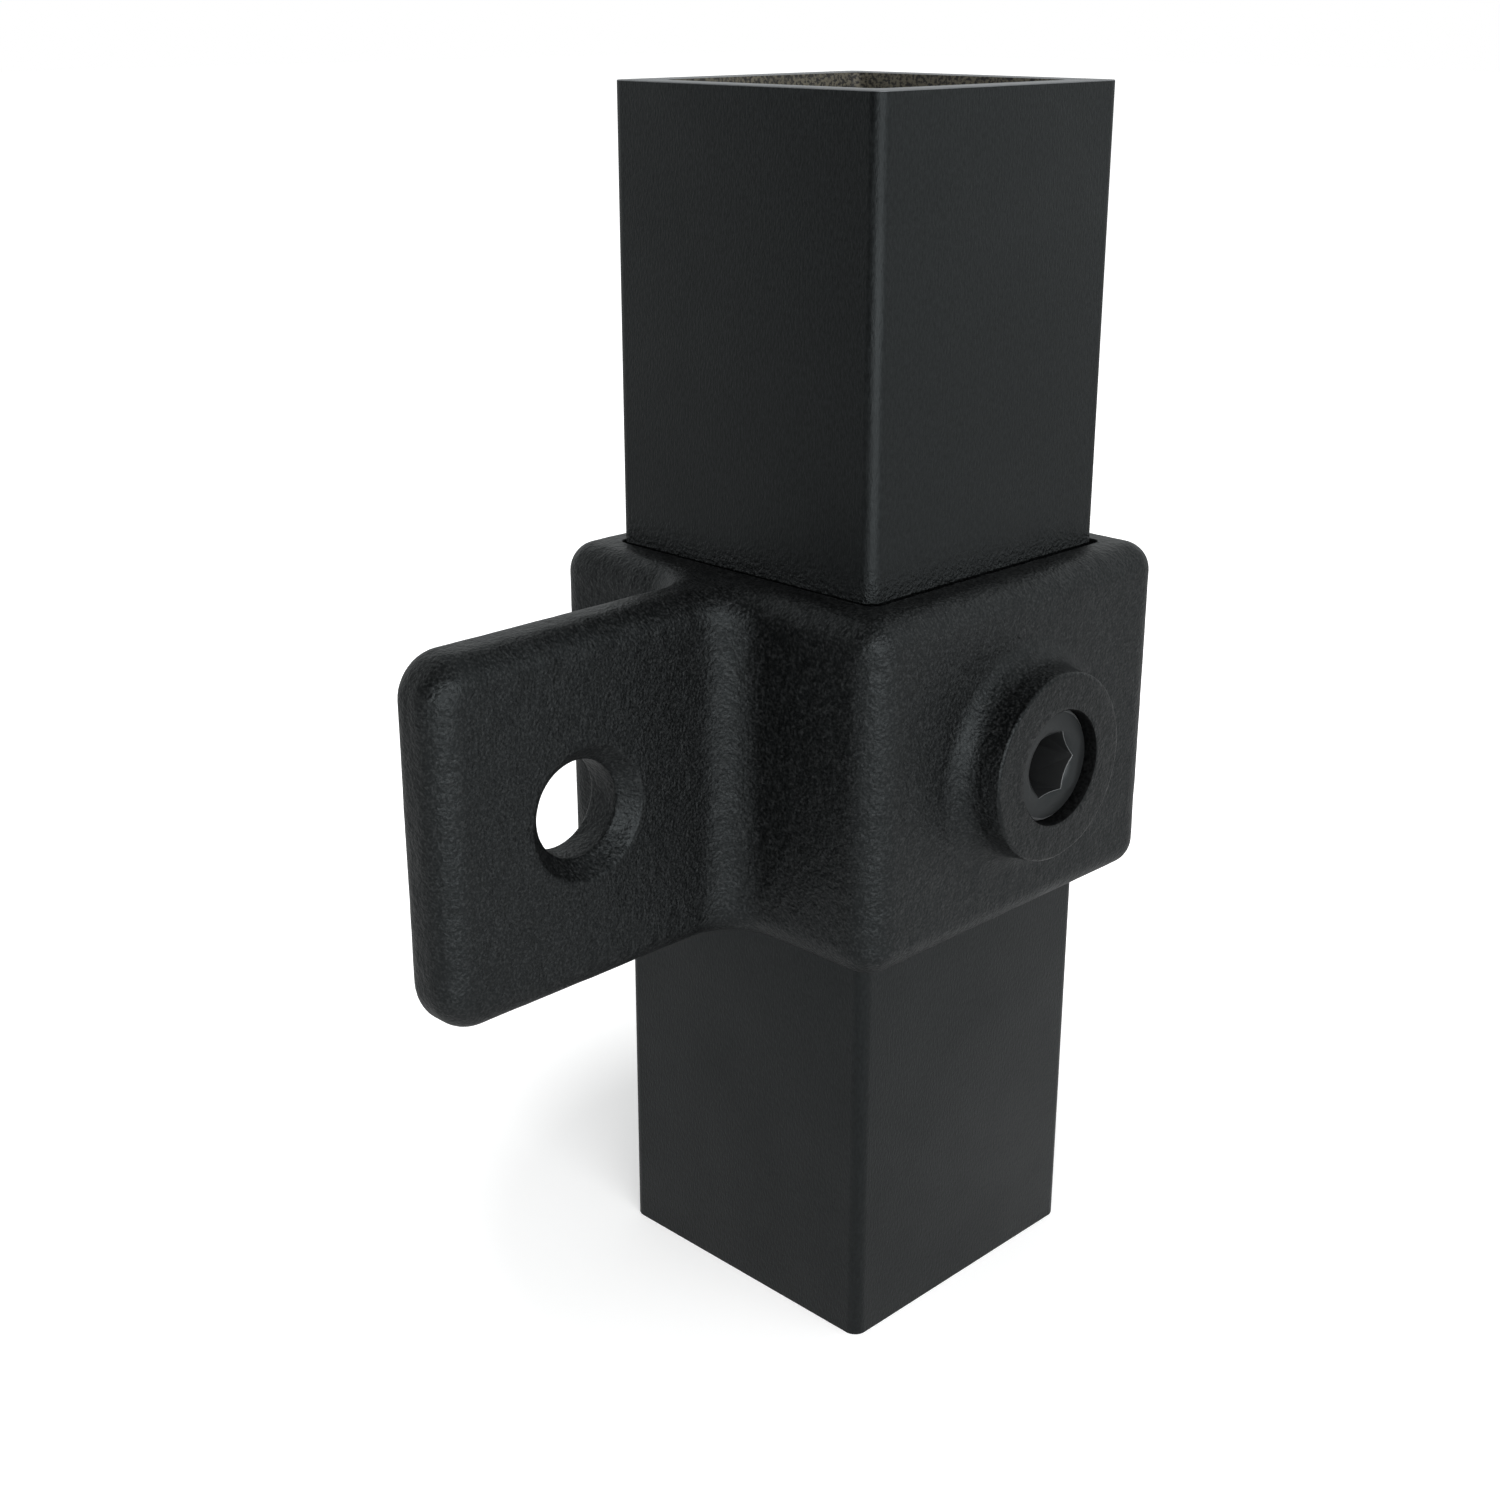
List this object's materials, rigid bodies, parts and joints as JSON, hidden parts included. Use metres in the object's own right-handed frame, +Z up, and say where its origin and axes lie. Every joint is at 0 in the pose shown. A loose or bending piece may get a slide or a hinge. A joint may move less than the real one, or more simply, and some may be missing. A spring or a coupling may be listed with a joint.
{
  "type": "square tube sleeve connector",
  "caption": "Cast sleeve that slides on a length of square tube and is clamped by a socket set screw, with a side lug drilled and countersunk for fixing to a panel, wall or bracket.",
  "frame": {"origin": "on the tube's axis, at its lower end", "axes": "+Z up along the tube, +X out through the set screw's head, -Y out along the lug"},
  "size_m": [0.0568, 0.0922, 0.145],
  "materials": {
    "tube_paint": "satin black powder coat, bare steel inside",
    "cast_paint": "satin black coated casting, slightly grained",
    "screw_black": "smooth blackened steel"
  },
  "bodies": {
    "tube": {"square_tube": "tube_paint"},
    "sleeve": {"sleeve_casting": "cast_paint"},
    "screw": {"set_screw": "screw_black"}
  },
  "joints": [
    {"name": "sleeve_height", "type": "slide", "parent": "tube", "child": "sleeve", "axis": [0, 0, 1], "range_m": [-0.051, 0.0523]},
    {"name": "set_screw_travel", "type": "slide", "parent": "sleeve", "child": "screw", "axis": [1, 0, 0], "range_m": [0, 0.00668]}
  ]
}
